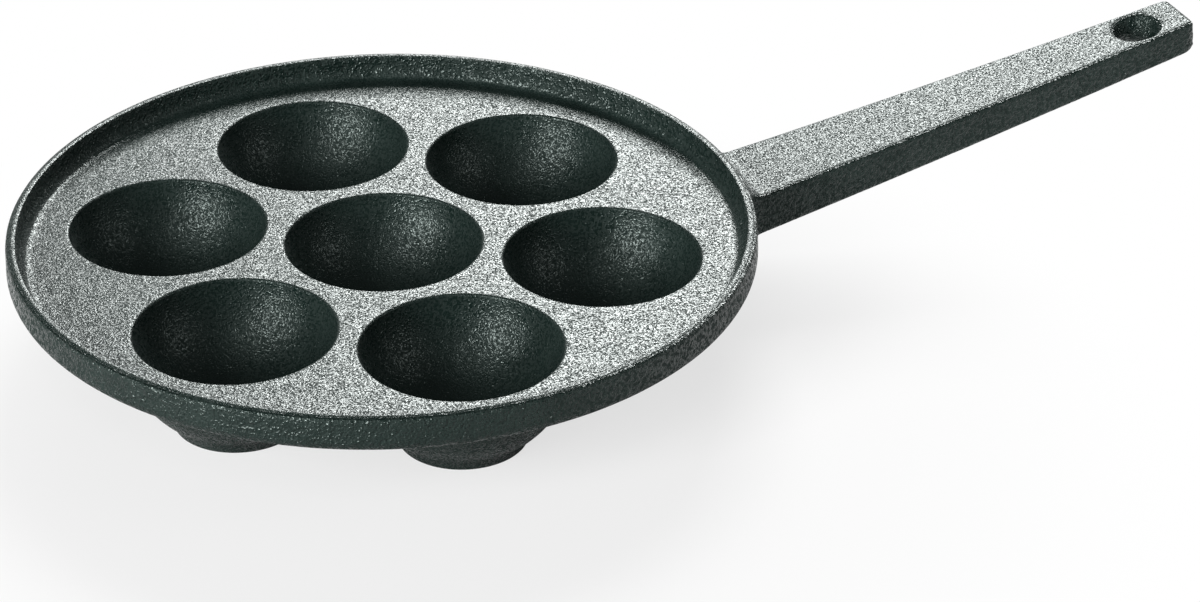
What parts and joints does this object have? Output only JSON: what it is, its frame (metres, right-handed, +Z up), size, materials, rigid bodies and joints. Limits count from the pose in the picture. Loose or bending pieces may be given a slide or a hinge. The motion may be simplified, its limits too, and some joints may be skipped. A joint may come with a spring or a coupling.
{
  "type": "aebleskiver pan",
  "caption": "Round cast-iron pan with hemispherical wells in a low-rimmed deck and a straight rising bar handle with a hanging hole, for cooking balls of batter on a hob.",
  "frame": {"origin": "on the pan's axis, in the plane that the feet stand on", "axes": "+X out along the handle, +Z up along the pan's axis, +Y to the left of the handle"},
  "size_m": [0.3931, 0.2296, 0.0583],
  "materials": {
    "iron": "sand-cast, fine grained, seasoned black"
  },
  "bodies": {
    "root": {"deck": "iron", "rim": "iron", "well_centre": "iron", "well_1": "iron", "well_2": "iron", "well_3": "iron", "well_4": "iron", "well_5": "iron", "well_6": "iron", "handle": "iron"}
  },
  "joints": []
}
